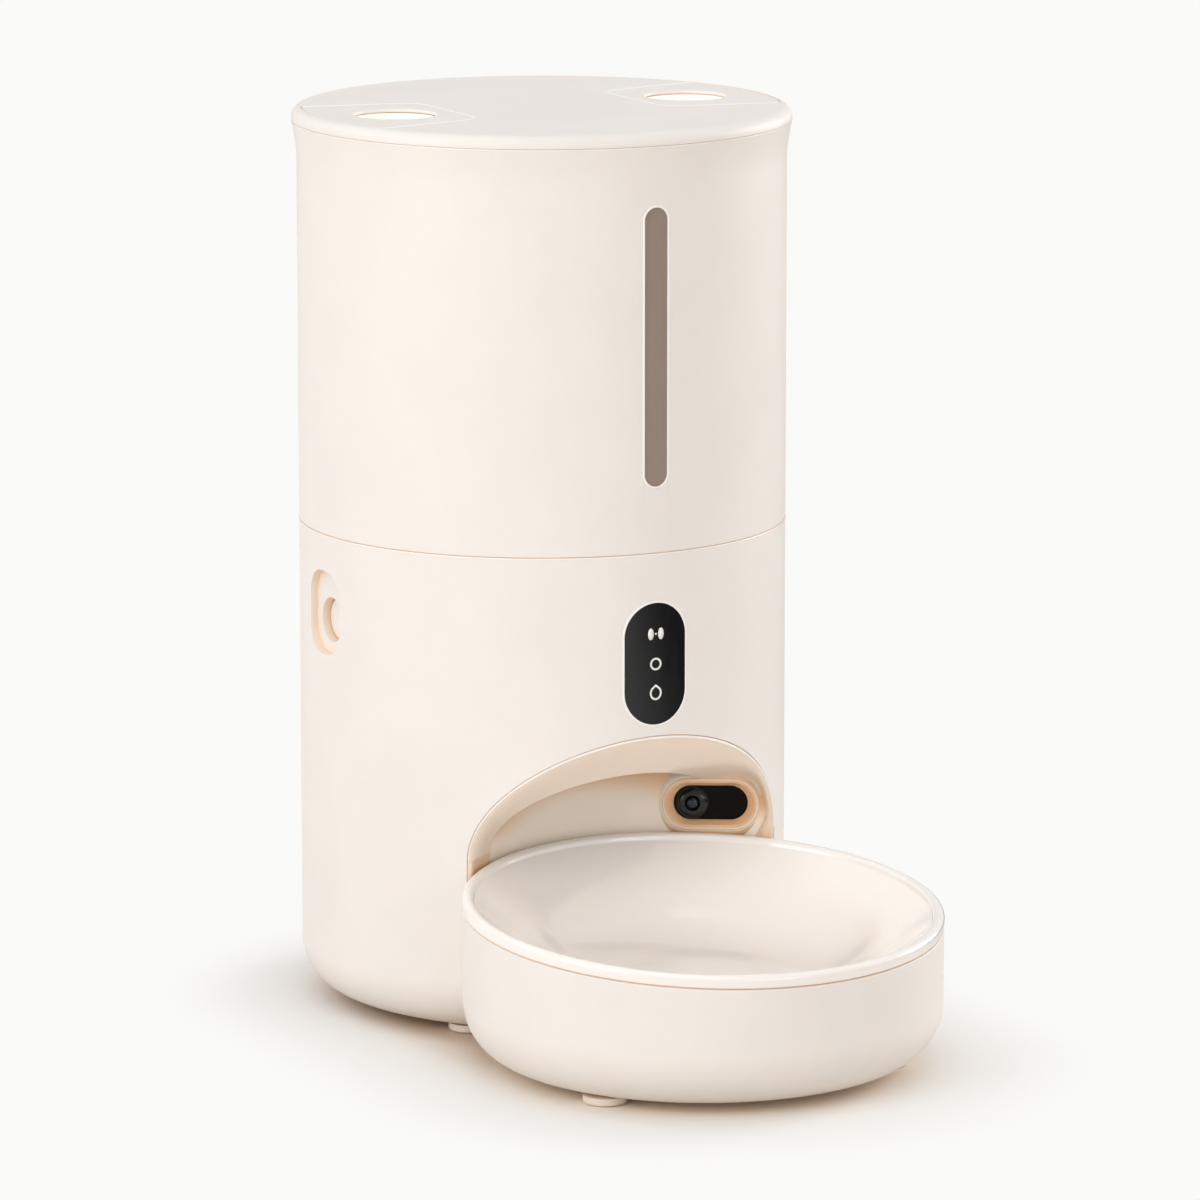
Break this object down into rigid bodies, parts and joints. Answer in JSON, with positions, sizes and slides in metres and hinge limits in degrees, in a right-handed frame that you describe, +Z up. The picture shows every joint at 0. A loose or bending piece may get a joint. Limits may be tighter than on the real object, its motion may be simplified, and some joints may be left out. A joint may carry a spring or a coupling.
{
  "type": "automatic pet feeder with camera",
  "caption": "Round cream tower feeder: lift-off hopper with window and latched lid, arched camera outlet dropping food from a geared rotor into a tilted bowl on a pull-out tray.",
  "frame": {"origin": "on the floor under the middle of the footprint", "axes": "+Z up, -Y to the front where the bowl is, +X to the right of a viewer facing the front"},
  "size_m": [0.194, 0.3218, 0.3515],
  "materials": {
    "shell": "satin moulded cream plastic",
    "lining": "matte cream plastic",
    "inner_plastic": "plain moulded plastic",
    "dark_plastic": "dark moulded plastic",
    "panel_black": "gloss black",
    "copper_trim": "satin copper coloured paint",
    "lens_black": "gloss black",
    "lens_glass": "coated glass",
    "smoky_window": "smoky clear plastic",
    "bowl_glaze": "glossy cream glaze",
    "rubber": "soft cream rubber",
    "silicone": "soft silicone",
    "rotor_tan": "tan moulded plastic",
    "gear_plastic": "natural acetal",
    "steel": "bright steel",
    "bronze": "sintered bronze",
    "board": "green circuit board",
    "cell_sleeve": "printed sleeve, plain"
  },
  "bodies": {
    "base": {"base_shell": "shell", "base_plate": "inner_plastic", "tower_feet": "rubber", "base_screws": "steel", "outlet_hood": "lining", "recess_liner": "lining", "food_chute": "inner_plastic", "food_sensors": "board", "rotor_housing": "inner_plastic", "deck_screws": "steel", "gear_plate": "dark_plastic", "gear_screws": "steel", "shaft_bushes": "bronze", "idler_pin": "steel", "drive_motor": "steel", "main_board": "board", "panel_board": "board", "control_panel": "panel_black", "camera_bezel": "copper_trim", "camera_window": "lens_black", "lens_barrel": "lens_black", "camera_lens": "lens_glass", "camera_board": "board", "speaker": "dark_plastic", "power_socket": "dark_plastic", "battery_box": "dark_plastic", "backup_cells": "cell_sleeve", "battery_door": "inner_plastic", "button_spring_left": "steel", "button_spring_right": "steel"},
    "rotor": {"rotor": "rotor_tan", "vane_tips": "silicone", "stirrer": "rotor_tan", "rotor_shaft": "steel", "output_gear": "gear_plastic"},
    "idler": {"idler_gear": "gear_plastic"},
    "pinion": {"motor_pinion": "bronze"},
    "button_left": {"release_button_left": "shell"},
    "button_right": {"release_button_right": "shell"},
    "hopper": {"hopper_shell": "shell", "window_pane": "smoky_window", "hopper_funnel": "inner_plastic"},
    "lid": {"lid_top": "shell", "lid_tray": "inner_plastic", "lid_seal": "silicone", "latch_cover_left": "shell", "latch_cover_right": "shell", "lid_screws": "steel", "latch_spring_left": "steel", "latch_spring_right": "steel", "desiccant_box": "inner_plastic"},
    "latch_left": {"lid_latch_left": "shell"},
    "latch_right": {"lid_latch_right": "shell"},
    "desiccant": {"desiccant_cover": "inner_plastic"},
    "tray": {"bowl_tray": "shell", "tray_feet": "rubber"},
    "bowl": {"bowl": "bowl_glaze"}
  },
  "joints": [
    {"name": "rotor_spin", "type": "hinge", "parent": "base", "child": "rotor", "pos_m": [0, 0.0639, 0.14], "axis": [0, 0, 1], "continuous": true},
    {"name": "idler_spin", "type": "hinge", "parent": "base", "child": "idler", "pos_m": [0, 0.0879, 0.115], "axis": [0, 0, 1], "continuous": true},
    {"name": "pinion_spin", "type": "hinge", "parent": "base", "child": "pinion", "pos_m": [0, 0.1119, 0.115], "axis": [0, 0, 1], "continuous": true},
    {"name": "button_left_push", "type": "slide", "parent": "base", "child": "button_left", "axis": [1, 0, 0], "range_m": [0, 0.004], "stiffness_N_per_m": 300, "deforming": ["button_spring_left"]},
    {"name": "button_right_push", "type": "slide", "parent": "base", "child": "button_right", "axis": [-1, 0, 0], "range_m": [0, 0.004], "stiffness_N_per_m": 300, "deforming": ["button_spring_right"]},
    {"name": "hopper_lift", "type": "slide", "parent": "base", "child": "hopper", "axis": [0, 0, 1], "range_m": [0, 0.2]},
    {"name": "lid_lift", "type": "slide", "parent": "hopper", "child": "lid", "axis": [0, 0, 1], "range_m": [0, 0.1]},
    {"name": "latch_left_slide", "type": "slide", "parent": "lid", "child": "latch_left", "axis": [1, 0, 0], "range_m": [0, 0.005], "stiffness_N_per_m": 250, "deforming": ["latch_spring_left"]},
    {"name": "latch_right_slide", "type": "slide", "parent": "lid", "child": "latch_right", "axis": [-1, 0, 0], "range_m": [0, 0.005], "stiffness_N_per_m": 250, "deforming": ["latch_spring_right"]},
    {"name": "desiccant_turn", "type": "hinge", "parent": "lid", "child": "desiccant", "pos_m": [0, 0.0639, 0.315], "axis": [0, 0, 1], "range_deg": [0, 30]},
    {"name": "tray_pull", "type": "slide", "parent": "base", "child": "tray", "axis": [0, -1, 0], "range_m": [0, 0.14]},
    {"name": "bowl_lift", "type": "slide", "parent": "tray", "child": "bowl", "axis": [0, -0.788, 0.6157], "range_m": [0, 0.11]}
  ],
  "couplings": [
    {"joint": "idler_spin", "follows": "rotor_spin", "ratio": -3},
    {"joint": "pinion_spin", "follows": "rotor_spin", "ratio": 9}
  ]
}
